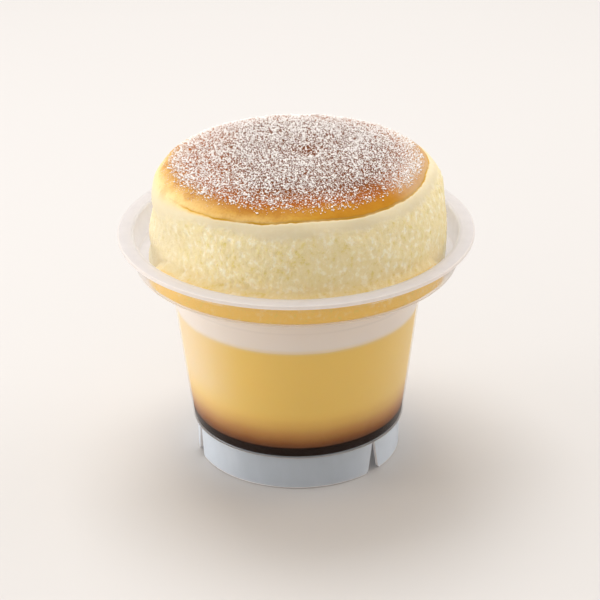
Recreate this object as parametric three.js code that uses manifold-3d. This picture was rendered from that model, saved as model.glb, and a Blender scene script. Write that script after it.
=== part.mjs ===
// Souffle pudding in its moulded cup: caramel, custard and cream layers under a risen souffle cake.
// Millimetres, +Z up. The foot ring stands on Z = 0 and the cup's axis is the Z axis.
// Azimuths are measured from the front (-Y) towards the right (+X).

import * as THREE from 'three';
import { mergeVertices } from 'three/addons/utils/BufferGeometryUtils.js';
import Module from 'manifold-3d';

// Flats around each round piece
const CUP_SEGMENTS = 64;
const LAYER_SEGMENTS = 64;
const SOUFFLE_SEGMENTS = 72;
const CORNER_STEPS = 3;

// Cup, moulded in one piece
const WALL = 0.65;
const FLANGE_RADIUS = 46;
const FLANGE_TOP = 62.35;
const FLANGE_THICKNESS = 0.75;
const FLANGE_EDGE_HEIGHT = 1.05;
const FLANGE_EDGE_WIDTH = 0.7;
const MOUTH_RADIUS = 41.8;
const UPPER_WALL_TOP_RADIUS = 42.45;
const UPPER_WALL_FOOT_RADIUS = 41.9;
const SHOULDER_UNDERSIDE = 54.2;
const NECK_RADIUS = 33.4;
const BASE_RADIUS = 27.95;
const FLOOR_UNDERSIDE = 9.2;

// Shallow stacking ring round the lower wall
const RING_HEIGHT = 48.4;
const RING_WIDTH = 1.8;
const RING_RISE = 0.25;

// Foot ring with three slots that widen downwards
const FOOT_RADIUS = 26.9;
const FOOT_WALL = 0.8;
const SLOT_AZIMUTHS = [46.5, 166.5, 286.5];
const SLOT_TOP_WIDTH = 0.75;
const SLOT_BOTTOM_WIDTH = 4.2;
const SLOT_LIP_ROUND = 1;
const SLOT_TOP = 9;

// Layers in the cup
const LAYER_GAP = 0.15;
const CARAMEL_TOP = 12.6;
const CUSTARD_TOP = 41.8;
const CREAM_TOP = 54.7;

// Souffle cake
const SOUFFLE_BASE = 55;
const SOUFFLE_BASE_RADIUS = 38.5;
const SOUFFLE_BASE_ROUND = 1.2;
const SHOULDER_START_RADIUS = 37.9;
const SHOULDER_START_HEIGHT = 70;
const SHOULDER_CORNER_RADIUS = 37.5;
const SHOULDER_CORNER_HEIGHT = 80.5;
const SHOULDER_END_RADIUS = 28.5;
const SHOULDER_END_HEIGHT = 81.3;
const DOME_CONTROL_RADIUS = 14;
const DOME_HEIGHT = 82.9;

// Spread of the cake's base against the upper wall, full at the front and ending towards the sides
const SPREAD_RADIUS = 40.85;
const SPREAD_TOP = 60;
const SPREAD_RISE = 2.4;
const SPREAD_FULL_COSINE = 0.7;
const SPREAD_END_COSINE = 0.35;

// Unevenness of the cake above its base
const UNEVEN_RISE = 3;
const LEAN_RIGHT = 0.4;
const BULGE = 0.4;
const BULGE_HEIGHT = 66.5;
const HOLLOW = 0.95;
const HOLLOW_HEIGHT = 68.5;
const BULGE_SPREAD = 4;
const LUMP = 0.22;
const DIMPLE_DEPTH = 0.8;
const DIMPLE_RADIUS = 9;
const DIMPLE_CENTRE = new THREE.Vector2(3, 3);

// Crack under the crust: higher on the right and at the front, and closing up on the left
const CRACK_HEIGHT = 78.4;
const CRACK_RISE_RIGHT = 1.3;
const CRACK_RISE_FRONT = 0.8;
const CRACK_DEPTH = 0.9;
const CRACK_HALF_WIDTH = 0.55;
const CRUST_LIP = 0.45;
const CRUST_LIP_WIDTH = 1.8;

// Arc lengths from the crack at which the souffle's outline has a station, below and above it
const CRACK_STATIONS = [-2.6, -1.3, -0.55, 0, 0.5, 1.2, 2.4, 4.2];
const SIDE_STATIONS = 12;
const DOME_STATIONS = 8;

const FLOOR_TOP = FLOOR_UNDERSIDE + WALL;
const LEDGE_TOP = SHOULDER_UNDERSIDE + WALL;
const FLANGE_UNDERSIDE = FLANGE_TOP - FLANGE_THICKNESS;
const FLANGE_EDGE_BOTTOM = FLANGE_TOP - FLANGE_EDGE_HEIGHT;
const LOWER_WALL_SLOPE = (NECK_RADIUS - BASE_RADIUS) / (SHOULDER_UNDERSIDE - FLOOR_UNDERSIDE);

const wasm = await Module();
wasm.setup();

function lowerWallRadius(height) {
  return BASE_RADIUS + LOWER_WALL_SLOPE * (height - FLOOR_UNDERSIDE);
}

// Turns [radius, height, round] corners into a profile with each corner rounded off
function roundedProfile(corners) {
  const points = corners.map(([radius, height]) => new THREE.Vector2(radius, height));
  const path = new THREE.Path();
  path.moveTo(points[0].x, points[0].y);
  for (let i = 1; i < points.length - 1; i += 1) {
    const round = corners[i][2] ?? 0;
    const corner = points[i];
    if (round > 0) {
      const entry = points[i - 1].clone().sub(corner).setLength(round).add(corner);
      const exit = points[i + 1].clone().sub(corner).setLength(round).add(corner);
      path.lineTo(entry.x, entry.y);
      path.quadraticCurveTo(corner.x, corner.y, exit.x, exit.y);
    } else {
      path.lineTo(corner.x, corner.y);
    }
  }
  const last = points[points.length - 1];
  path.lineTo(last.x, last.y);
  return path.getPoints(CORNER_STEPS);
}

// Shares the vertices that coincide and drops the triangles that collapse on the axis
function closed(geometry) {
  geometry.deleteAttribute('normal');
  geometry.deleteAttribute('uv');
  const merged = mergeVertices(geometry, 1e-4);
  const index = merged.getIndex().array;
  const kept = [];
  for (let i = 0; i < index.length; i += 3) {
    const [a, b, c] = [index[i], index[i + 1], index[i + 2]];
    if (a !== b && b !== c && c !== a) {
      kept.push(a, b, c);
    }
  }
  merged.setIndex(kept);
  return merged;
}

function turned(corners, segments) {
  const geometry = new THREE.LatheGeometry(roundedProfile(corners), segments);
  geometry.rotateX(Math.PI / 2);
  return closed(geometry);
}

function toSolid(geometry) {
  const mesh = new wasm.Mesh({
    numProp: 3,
    vertProperties: new Float32Array(geometry.getAttribute('position').array),
    triVerts: new Uint32Array(geometry.getIndex().array),
  });
  return new wasm.Manifold(mesh);
}

function fromSolid(solid) {
  const mesh = solid.getMesh();
  const geometry = new THREE.BufferGeometry();
  geometry.setAttribute('position', new THREE.BufferAttribute(mesh.vertProperties, 3));
  geometry.setIndex(new THREE.BufferAttribute(mesh.triVerts, 1));
  return geometry;
}

// Wedge that opens one slot in the foot ring, its lower corners flaring outwards
function slotCutter(azimuth) {
  const top = SLOT_TOP_WIDTH / 2;
  const bottom = SLOT_BOTTOM_WIDTH / 2;
  const flare = bottom + SLOT_LIP_ROUND;
  const side = bottom - (bottom - top) * (SLOT_LIP_ROUND / SLOT_TOP);
  const shape = new THREE.Shape();
  shape.moveTo(-flare, -1);
  shape.lineTo(flare, -1);
  shape.lineTo(flare, 0);
  shape.quadraticCurveTo(bottom, 0, side, SLOT_LIP_ROUND);
  shape.lineTo(top, SLOT_TOP);
  shape.lineTo(-top, SLOT_TOP);
  shape.lineTo(-side, SLOT_LIP_ROUND);
  shape.quadraticCurveTo(-bottom, 0, -flare, 0);
  const depth = FOOT_WALL * 4;
  const geometry = new THREE.ExtrudeGeometry(shape, { depth, bevelEnabled: false, curveSegments: 4 });
  geometry.translate(0, 0, FOOT_RADIUS - FOOT_WALL / 2 - depth / 2);
  geometry.rotateX(Math.PI / 2);
  geometry.rotateZ(THREE.MathUtils.degToRad(azimuth));
  return closed(geometry);
}

function cupGeometry() {
  const ringLow = RING_HEIGHT - RING_WIDTH / 2;
  const ringHigh = RING_HEIGHT + RING_WIDTH / 2;
  const body = turned([
    [0, FLOOR_UNDERSIDE],
    [FOOT_RADIUS - FOOT_WALL, FLOOR_UNDERSIDE, 0.5],
    [FOOT_RADIUS - FOOT_WALL, 0],
    [FOOT_RADIUS, 0],
    [FOOT_RADIUS, FLOOR_UNDERSIDE],
    [BASE_RADIUS, FLOOR_UNDERSIDE, 0.6],
    [lowerWallRadius(ringLow), ringLow],
    [lowerWallRadius(RING_HEIGHT) + RING_RISE, RING_HEIGHT],
    [lowerWallRadius(ringHigh), ringHigh],
    [NECK_RADIUS, SHOULDER_UNDERSIDE, 0.8],
    [UPPER_WALL_FOOT_RADIUS, SHOULDER_UNDERSIDE, 1],
    [UPPER_WALL_TOP_RADIUS, FLANGE_UNDERSIDE, 0.5],
    [FLANGE_RADIUS - FLANGE_EDGE_WIDTH, FLANGE_UNDERSIDE],
    [FLANGE_RADIUS - FLANGE_EDGE_WIDTH, FLANGE_EDGE_BOTTOM],
    [FLANGE_RADIUS, FLANGE_EDGE_BOTTOM],
    [FLANGE_RADIUS, FLANGE_TOP, 0.4],
    [MOUTH_RADIUS, FLANGE_TOP, 0.5],
    [UPPER_WALL_FOOT_RADIUS - WALL, LEDGE_TOP, 0.7],
    [NECK_RADIUS - WALL, LEDGE_TOP, 0.6],
    [BASE_RADIUS - WALL, FLOOR_TOP, 1.2],
    [0, FLOOR_TOP],
  ], CUP_SEGMENTS);
  return fromSolid(SLOT_AZIMUTHS.reduce(
    (solid, azimuth) => solid.subtract(toSolid(slotCutter(azimuth))),
    toSolid(body),
  ));
}

// Layer that fills the lower cup between two heights
function layerGeometry(bottom, top, bottomRound) {
  const radius = (height) => lowerWallRadius(height) - WALL - LAYER_GAP;
  return turned([
    [0, bottom],
    [radius(bottom), bottom, bottomRound],
    [radius(top), top],
    [0, top],
  ], LAYER_SEGMENTS);
}

// Radius and height along the souffle's rounded outline, from the middle of its base to its crown
function souffleOutline() {
  const path = new THREE.Path();
  path.moveTo(0, SOUFFLE_BASE);
  path.lineTo(SOUFFLE_BASE_RADIUS - SOUFFLE_BASE_ROUND, SOUFFLE_BASE);
  path.quadraticCurveTo(
    SOUFFLE_BASE_RADIUS, SOUFFLE_BASE, SOUFFLE_BASE_RADIUS, SOUFFLE_BASE + SOUFFLE_BASE_ROUND,
  );
  path.lineTo(SHOULDER_START_RADIUS, SHOULDER_START_HEIGHT);
  path.quadraticCurveTo(
    SHOULDER_CORNER_RADIUS, SHOULDER_CORNER_HEIGHT, SHOULDER_END_RADIUS, SHOULDER_END_HEIGHT,
  );
  path.quadraticCurveTo(DOME_CONTROL_RADIUS, DOME_HEIGHT, 0, DOME_HEIGHT);
  return path;
}

function arcLengthAtHeight(outline, height) {
  const length = outline.getLength();
  let low = SOUFFLE_BASE_RADIUS;
  let high = length;
  for (let i = 0; i < 40; i += 1) {
    const middle = (low + high) / 2;
    if (outline.getPoint(middle / length).y < height) {
      low = middle;
    } else {
      high = middle;
    }
  }
  return low;
}

// How open the crack is: full at the front and right, nearly shut on the left
function crackStrength(right) {
  return 0.2 + 0.8 * THREE.MathUtils.smoothstep(right, -0.9, -0.45);
}

// Outward relief of the souffle at a distance along the outline from the crack
function crackRelief(distance, right) {
  const groove = CRACK_DEPTH * Math.exp(-((distance / CRACK_HALF_WIDTH) ** 2));
  const lip = distance > 0
    ? CRUST_LIP * Math.exp(-(((distance - CRUST_LIP_WIDTH / 2) / CRUST_LIP_WIDTH) ** 2))
    : 0;
  return crackStrength(right) * (lip - groove);
}

// Bulge to the right and hollow to the left, each at its own height
function sway(right, height) {
  const size = right > 0 ? BULGE : HOLLOW;
  const centre = right > 0 ? BULGE_HEIGHT : HOLLOW_HEIGHT;
  return right * size * Math.exp(-(((height - centre) / BULGE_SPREAD) ** 2));
}

// Broad lumps that stand round the cake's side
function lumps(azimuth, height) {
  return LUMP * (
    Math.sin(5 * azimuth) * Math.sin(0.35 * height)
    + 0.8 * Math.sin(8 * azimuth + 1.3) * Math.sin(0.5 * height + 1)
    + 0.6 * Math.sin(13 * azimuth + 2.1) * Math.sin(0.7 * height + 2)
  );
}

// Stations along the outline for one azimuth, so that edges of the mesh follow the crack
function outlineStations(outline, crack) {
  const stations = [0, SOUFFLE_BASE_RADIUS * 0.5, SOUFFLE_BASE_RADIUS - SOUFFLE_BASE_ROUND];
  const sideStart = SOUFFLE_BASE_RADIUS - SOUFFLE_BASE_ROUND * 0.4;
  const sideEnd = crack + CRACK_STATIONS[0];
  for (let i = 0; i < SIDE_STATIONS; i += 1) {
    stations.push(THREE.MathUtils.lerp(sideStart, sideEnd, i / SIDE_STATIONS));
  }
  stations.push(...CRACK_STATIONS.map((distance) => crack + distance));
  const domeStart = crack + CRACK_STATIONS[CRACK_STATIONS.length - 1];
  const domeEnd = outline.getLength();
  for (let i = 1; i <= DOME_STATIONS; i += 1) {
    stations.push(THREE.MathUtils.lerp(domeStart, domeEnd, i / DOME_STATIONS));
  }
  return stations;
}

// How far the cake's base is spread at a height: 1 against the wall, 0 above the spread
function spreadShare(azimuth, height) {
  const front = THREE.MathUtils.smoothstep(Math.cos(azimuth), SPREAD_END_COSINE, SPREAD_FULL_COSINE);
  const top = THREE.MathUtils.lerp(SOUFFLE_BASE - SPREAD_RISE, SPREAD_TOP, front);
  return 1 - THREE.MathUtils.smoothstep(height, top, top + SPREAD_RISE);
}

function soufflePoint(outline, station, crack, azimuth) {
  const length = outline.getLength();
  const onOutline = outline.getPoint(Math.min(station / length, 1));
  const spread = spreadShare(azimuth, onOutline.y);
  const spreadBy = SPREAD_RADIUS - SOUFFLE_BASE_RADIUS;
  if (station <= SOUFFLE_BASE_RADIUS - SOUFFLE_BASE_ROUND) {
    const stretched = onOutline.x * (1 + (spread * spreadBy) / SOUFFLE_BASE_RADIUS);
    return new THREE.Vector3(stretched * Math.sin(azimuth), -stretched * Math.cos(azimuth), SOUFFLE_BASE);
  }
  const ahead = outline.getPoint(Math.min((station + 0.05) / length, 1));
  const behind = outline.getPoint((station - 0.05) / length);
  const along = ahead.sub(behind).normalize();
  const right = Math.sin(azimuth);
  const upright = along.y;
  const rise = THREE.MathUtils.smoothstep(onOutline.y, SOUFFLE_BASE, SOUFFLE_BASE + UNEVEN_RISE);
  const fade = rise * (1 - spread);
  const outward = crackRelief(station - crack, right)
    + upright * fade * (sway(right, onOutline.y) + lumps(azimuth, onOutline.y));
  const radius = Math.max(onOutline.x + outward * along.y + spread * spreadBy, 0);
  const point = new THREE.Vector3(
    radius * Math.sin(azimuth) + LEAN_RIGHT * fade,
    -radius * Math.cos(azimuth),
    onOutline.y - outward * along.x,
  );
  const fromDimple = Math.hypot(point.x - DIMPLE_CENTRE.x, point.y - DIMPLE_CENTRE.y);
  point.z -= DIMPLE_DEPTH * (1 - upright) * Math.exp(-((fromDimple / DIMPLE_RADIUS) ** 2));
  return point;
}

function souffleGeometry() {
  const outline = souffleOutline();
  const count = outlineStations(outline, arcLengthAtHeight(outline, CRACK_HEIGHT)).length;
  const ruler = Array.from({ length: count }, (_, level) => new THREE.Vector2(1, level));
  const geometry = new THREE.LatheGeometry(ruler, SOUFFLE_SEGMENTS);
  const position = geometry.getAttribute('position');
  for (let i = 0; i <= SOUFFLE_SEGMENTS; i += 1) {
    const azimuth = (2 * Math.PI * (i % SOUFFLE_SEGMENTS)) / SOUFFLE_SEGMENTS;
    const height = CRACK_HEIGHT
      + CRACK_RISE_RIGHT * Math.sin(azimuth)
      + CRACK_RISE_FRONT * Math.cos(azimuth);
    const crack = arcLengthAtHeight(outline, height);
    outlineStations(outline, crack).forEach((station, level) => {
      const point = soufflePoint(outline, station, crack, azimuth);
      position.setXYZ(i * count + level, point.x, point.y, point.z);
    });
  }
  return closed(geometry);
}

function piece(name, geometry, material) {
  geometry.computeVertexNormals();
  const mesh = new THREE.Mesh(geometry, new THREE.MeshStandardMaterial({ metalness: 0, ...material }));
  mesh.name = name;
  return mesh;
}

const pudding = new THREE.Group();
pudding.add(
  piece('cup', cupGeometry(), {
    color: '#e9e6e2', roughness: 0.35, transparent: true, opacity: 0.45,
  }),
  piece('caramel', layerGeometry(FLOOR_TOP + LAYER_GAP, CARAMEL_TOP, 1.2), {
    color: '#2c1f1a', roughness: 0.25,
  }),
  piece('custard', layerGeometry(CARAMEL_TOP + LAYER_GAP, CUSTARD_TOP, 0), {
    color: '#e6bd68', roughness: 0.45,
  }),
  piece('cream', layerGeometry(CUSTARD_TOP + LAYER_GAP, CREAM_TOP, 0), {
    color: '#f1e6d8', roughness: 0.6,
  }),
  piece('souffle', souffleGeometry(), {
    color: '#e8d7a6', roughness: 0.85,
  }),
);

export default pudding;
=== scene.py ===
"""Souffle pudding in its translucent cup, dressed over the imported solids.

Lengths are metres, +Z is up along the cup's axis, and the camera looks from -Y.
Azimuths are measured from the front (-Y) towards the right (+X).
"""

import math
import random

import bmesh
import bpy
import numpy
from bpy.props import FloatProperty, FloatVectorProperty, IntProperty, PointerProperty
from mathutils import Matrix, Vector, noise
from mathutils.bvhtree import BVHTree


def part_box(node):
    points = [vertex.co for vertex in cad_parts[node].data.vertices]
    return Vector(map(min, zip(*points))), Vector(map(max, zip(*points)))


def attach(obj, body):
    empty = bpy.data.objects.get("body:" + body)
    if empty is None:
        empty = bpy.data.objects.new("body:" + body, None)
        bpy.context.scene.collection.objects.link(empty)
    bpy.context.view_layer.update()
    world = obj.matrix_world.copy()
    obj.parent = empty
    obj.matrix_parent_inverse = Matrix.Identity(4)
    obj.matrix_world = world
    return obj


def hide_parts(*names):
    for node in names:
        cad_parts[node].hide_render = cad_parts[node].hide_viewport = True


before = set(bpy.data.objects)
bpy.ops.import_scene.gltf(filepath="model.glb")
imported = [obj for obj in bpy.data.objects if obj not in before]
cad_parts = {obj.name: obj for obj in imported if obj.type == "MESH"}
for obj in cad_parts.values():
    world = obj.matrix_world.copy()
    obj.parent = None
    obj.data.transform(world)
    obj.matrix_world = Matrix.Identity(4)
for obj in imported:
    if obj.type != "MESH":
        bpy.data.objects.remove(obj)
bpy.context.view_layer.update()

bl_info = {
    "name": "Souffle Pudding",
    "version": (1, 0, 0),
    "blender": (4, 5, 0),
    "location": "3D View > Sidebar > Pudding",
    "description": "Models a souffle pudding in its translucent cup",
    "category": "Object",
}

MM = 0.001
CUP_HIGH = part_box("cup")[1]
SOUFFLE_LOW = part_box("souffle")[0]
MERGE_DISTANCE = 1e-7
SAME_PLACE = 1e-6
RING_STEPS = 224


def tint(red, green, blue):
    """A screen colour from 0 to 255 as the linear colour that shaders take."""
    shares = (red / 255, green / 255, blue / 255)
    return tuple(s / 12.92 if s <= 0.04045 else ((s + 0.055) / 1.055) ** 2.4 for s in shares)


def length(name, millimetres, description):
    return FloatProperty(
        name=name, description=description, default=millimetres * MM, unit="LENGTH", precision=5
    )


def colour(name, screen, description):
    return FloatVectorProperty(
        name=name, description=description, default=tint(*screen), subtype="COLOR", min=0, max=1
    )


def share(name, default, description):
    return FloatProperty(
        name=name, description=description, default=default, min=0, max=1, subtype="FACTOR"
    )


def angle(name, radians, description):
    return FloatProperty(name=name, description=description, default=radians, subtype="ANGLE")


def power(name, watts, description):
    return FloatProperty(name=name, description=description, default=watts, unit="POWER")


def tries(name, default, description):
    return IntProperty(name=name, description=description, default=default, min=0)


class PuddingCup(bpy.types.PropertyGroup):
    """Sizes and finish of the moulded cup"""

    wall: length("Wall", 0.65, "Thickness of the wall, floor and shoulder")
    flange_radius: length("Flange radius", CUP_HIGH[0] / MM, "Outer radius of the flange")
    flange_top: length("Flange top", CUP_HIGH[2] / MM, "Height of the flange's upper face")
    flange_thickness: length("Flange thickness", 0.75, "Thickness of the flange")
    flange_edge_height: length("Flange edge height", 1.05, "Height of the flange's turned edge")
    flange_edge_width: length("Flange edge width", 0.7, "Width of the flange's turned edge")
    mouth_radius: length("Mouth radius", 41.8, "Inner radius at the flange")
    upper_wall_top_radius: length("Upper wall top", 42.45, "Outer radius under the flange")
    upper_wall_foot_radius: length("Upper wall foot", 41.9, "Outer radius at the shoulder")
    shoulder_underside: length("Shoulder underside", 54.2, "Height of the shoulder's underside")
    neck_radius: length("Neck radius", 33.4, "Outer radius of the lower wall at the shoulder")
    base_radius: length("Base radius", 27.95, "Outer radius of the lower wall at the floor")
    floor_underside: length("Floor underside", 9.2, "Height of the floor's underside")
    ring_height: length("Ring height", 48.4, "Height of the stacking ring's crest")
    ring_width: length("Ring width", 1.8, "Width of the stacking ring")
    ring_rise: length("Ring rise", 0.25, "How far the stacking ring stands out")
    foot_radius: length("Foot radius", 26.9, "Outer radius of the foot ring")
    foot_wall: length("Foot wall", 0.8, "Thickness of the foot ring")
    slot_top: length("Slot top", 9.0, "Height of the foot slots")
    slot_top_width: length("Slot top width", 0.75, "Width of a foot slot at its top")
    slot_bottom_width: length("Slot bottom width", 4.2, "Width of a foot slot at its mouth")
    slot_lip_round: length("Slot lip", 1.0, "Rounding of a foot slot's lower corners")
    slot_azimuth: angle("Slot azimuth", math.radians(46.5), "The first foot slot's turn from the front")
    plastic: colour("Plastic", (234, 232, 234), "Colour of the plastic's haze")
    # Also the colour of painted highlight lines along the brim, the shoulder's corner, the sill, the hem and
    # the slots' cut faces.
    thick_and_highlight_plastic: colour("Thick plastic", (250, 245, 243), "Colour of the plastic's thick edges")
    foot_plastic: colour("Foot plastic", (236, 245, 255), "Colour of the foot ring's haze")
    wet_haze: share("Wet haze", 0.004, "Haze of the wall where food lies against it")
    dry_haze: share("Dry haze", 0.5, "Haze of the wall that has air behind it")
    flange_haze: share("Flange haze", 0.8, "Haze of the flange")
    foot_haze: share("Foot haze", 0.46, "Haze of the foot ring")


class PuddingLayers(bpy.types.PropertyGroup):
    """Heights and colours of the layers in the cup"""

    sink: length("Sink", 0.3, "How far the layers reach into the cup's wall")
    caramel_top: length("Caramel top", 12.6, "Height of the caramel")
    custard_top: length("Custard top", 41.8, "Height of the custard")
    cream_top: length("Cream top", 54.9, "Height of the cream")
    wave: length("Wave", 0.28, "Unevenness of the line between custard and cream")
    stain: length("Stain", 10.5, "Height of the caramel's stain in the custard")
    caramel: colour("Caramel", (24, 12, 7), "Colour of the caramel")
    custard: colour("Custard", (240, 203, 110), "Colour of the custard")
    custard_stain: colour("Custard stain", (90, 42, 13), "Colour of the custard on the caramel")
    cream: colour("Cream", (237, 227, 218), "Colour of the cream")


class PuddingSouffle(bpy.types.PropertyGroup):
    """Sizes and colours of the souffle cake"""

    base: length("Base", SOUFFLE_LOW[2] / MM - 0.25, "Height of the cake's underside, in the ledge")
    base_radius: length("Base radius", 38.5, "Radius at the cake's base before it spreads")
    base_round: length("Base round", 1.2, "Rounding of the cake's lower edge")
    spread_radius: length("Spread radius", 41.6, "Radius of the spread base, just inside the wall")
    spread_top: length("Spread top", 60.0, "Height of the spread base at the front")
    spread_rise: length("Spread rise", 2.4, "Rise over which the cake draws in above its spread base")
    uneven_rise: length("Uneven rise", 3.0, "Rise above the base over which the unevenness sets in")
    shoulder_radius: length("Shoulder radius", 37.9, "Radius where the side starts to turn in")
    shoulder_height: length("Shoulder height", 70.0, "Height where the side starts to turn in")
    corner_radius: length("Corner radius", 37.5, "Radius that the rounded shoulder bends towards")
    corner_height: length("Corner height", 80.5, "Height that the rounded shoulder bends towards")
    top_radius: length("Top radius", 28.5, "Radius where the dome begins")
    top_height: length("Top height", 81.3, "Height where the dome begins")
    dome_radius: length("Dome radius", 14.0, "Radius that the dome bends towards")
    dome_height: length("Dome height", 82.9, "Height of the crown before it dimples")
    lean: length("Lean", 0.4, "Lean of the cake to the right")
    bulge: length("Bulge", 0.4, "Bulge to the right")
    bulge_height: length("Bulge height", 66.5, "Height of the bulge")
    hollow: length("Hollow", 0.95, "Hollow to the left")
    hollow_height: length("Hollow height", 68.5, "Height of the hollow")
    bulge_spread: length("Bulge spread", 4.0, "Spread of the bulge and the hollow")
    lump: length("Lump", 0.22, "Depth of the side's broad lumps")
    dimple: length("Dimple", 0.8, "Depth of the crown's dimple")
    dimple_radius: length("Dimple radius", 9.0, "Radius of the crown's dimple")
    dimple_x: length("Dimple X", 3.0, "The dimple's place to the right")
    dimple_y: length("Dimple Y", 3.0, "The dimple's place to the back")
    crack_height: length("Crack height", 78.4, "Mean height of the crack under the crust")
    crack_right: length("Crack right", 1.3, "Rise of the crack to the right")
    crack_front: length("Crack front", 0.8, "Rise of the crack to the front")
    crack_drop: length("Crack drop", 0.7, "How much lower the crack runs right of the front")
    crack_depth: length("Crack depth", 0.24, "Depth of the crack")
    crack_width: length("Crack width", 0.3, "Half width of the crack")
    lip: length("Lip", 0.1, "How far the crust's lip stands out over the crack")
    lip_width: length("Lip width", 1.8, "Width of the crust's lip")
    ridge: length("Ridge", 0.1, "How far the skin stands up beside the crack on the right")
    ridge_width: length("Ridge width", 1.0, "Half width of that ridge")
    skin_width: length("Skin width", 3.2, "Width of the smooth skin under the crack")
    skin_wave: length("Skin wave", 1.0, "Change of the skin's width round the cake")
    skin_left: length("Skin left", 2.6, "How much wider the skin is on the left")
    skin_rise: length("Skin rise", 0.12, "How far the skin stands out over the crumb")
    pit_depth: length("Pit depth", 0.2, "Depth of the crumb's pits")
    thread_depth: length("Thread depth", 0.12, "Depth of the crumb's upright threads")
    crumb: colour("Crumb", (240, 225, 180), "Colour of the crumb")
    crumb_pit: colour("Crumb pit", (225, 206, 124), "Colour of the crumb's pits")
    # Partly the browned base and partly painted shade, most at the front.
    crumb_base: colour("Crumb base", (240, 202, 126), "Colour of the crumb near the base")
    crumb_wet: colour("Crumb wet", (243, 201, 113), "Colour of the crumb against the wall")
    # Also the painted light that pales the base in the shaded trough at the sides.
    crumb_thread_and_trough_light: colour("Crumb thread", (253, 248, 226), "Colour of the crumb's pale threads")
    # Also mixed over the crumb's lit left side as painted shade.
    skin: colour("Skin", (221, 208, 176), "Colour of the smooth skin under the crack")
    crack: colour("Crack", (200, 150, 20), "Colour in the crack")
    crust_edge: colour("Crust edge", (197, 147, 58), "Colour of the crust's edge")
    crust_pale: colour("Crust pale", (246, 212, 150), "Colour of the crust's pale left edge")
    crust_deep: colour("Crust deep", (180, 120, 24), "Colour of the crust's edge right of the front")
    crust: colour("Crust", (160, 90, 32), "Colour of the browned crust")
    crust_dark: colour("Crust dark", (96, 58, 36), "Colour of the crust's darkest patches")
    crust_dusty: colour("Crust dusty", (197, 162, 126), "Colour of the crust's dusty right edge")


class PuddingSugar(bpy.types.PropertyGroup):
    """Amount and size of the powdered sugar"""

    seed: IntProperty(name="Seed", description="Seed of the grains' places", default=7)
    clumps: tries("Clumps", 11000, "Clumps that are tried")
    clump_size: length("Clump size", 0.54, "Usual width of a clump")
    grains: tries("Grains", 76000, "Grains that are tried")
    grain_size: length("Grain size", 0.37, "Usual width of a grain")
    dust: tries("Dust", 60000, "Specks of dust that are tried")
    dust_size: length("Dust size", 0.2, "Usual width of a speck of dust")
    spacing: share("Spacing", 0.8, "Least distance between neighbours, in shares of their width")
    white: colour("White", (255, 252, 250), "Colour of the sugar")


class PuddingStage(bpy.types.PropertyGroup):
    """Floor, light and camera"""

    floor: colour("Floor", (206, 204, 203), "Colour of the floor")
    camera_back: length("Camera back", 546.5, "Camera's distance in front of the cup's axis")
    camera_height: length("Camera height", 313.9, "Camera's height above the floor")
    camera_lens: FloatProperty(
        name="Camera lens", description="Focal length in millimetres", default=139.89
    )
    camera_pitch: angle("Camera pitch", 0.4629, "Tilt below level")
    camera_yaw: angle("Camera yaw", -0.0015, "Turn to the left")
    camera_roll: angle("Camera roll", -0.0114, "Roll about the view")
    key_power: power("Key", 1.38, "Left light")
    fill_power: power("Fill", 1.6, "Right light")
    back_power: power("Back", 4.5, "Light from behind")
    low_power: power("Low", 0.95, "Low left light")
    sky: colour("Sky", (255, 249, 242), "Colour of the even light")
    sky_strength: FloatProperty(name="Even light", description="Even light", default=0.74)


class Channel:
    """One output of a finish's nodes. Arithmetic on it adds Math nodes."""

    def __init__(self, finish, socket):
        self.finish = finish
        self.socket = socket

    def maths(self, operation, first, second):
        return self.finish.node("ShaderNodeMath", {"operation": operation}, {0: first, 1: second})

    def __add__(self, other):
        return self.maths("ADD", self, other)

    def __radd__(self, other):
        return self.maths("ADD", other, self)

    def __sub__(self, other):
        return self.maths("SUBTRACT", self, other)

    def __rsub__(self, other):
        return self.maths("SUBTRACT", other, self)

    def __mul__(self, other):
        return self.maths("MULTIPLY", self, other)

    def __rmul__(self, other):
        return self.maths("MULTIPLY", other, self)

    def __truediv__(self, other):
        return self.maths("DIVIDE", self, other)

    def __rtruediv__(self, other):
        return self.maths("DIVIDE", other, self)

    def __neg__(self):
        return self * -1

    def __pow__(self, other):
        return self.maths("POWER", self, other)

    def rise(self, low, high):
        """0 at low and 1 at high, with a smooth step between them."""
        return self.finish.node(
            "ShaderNodeMapRange",
            {"interpolation_type": "SMOOTHSTEP"},
            {"Value": self, "From Min": low, "From Max": high},
        )

    def band(self, start, full, still_full, end):
        """1 between the two full values, and 0 outside start and end."""
        return self.rise(start, full) * self.rise(end, still_full)


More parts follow.
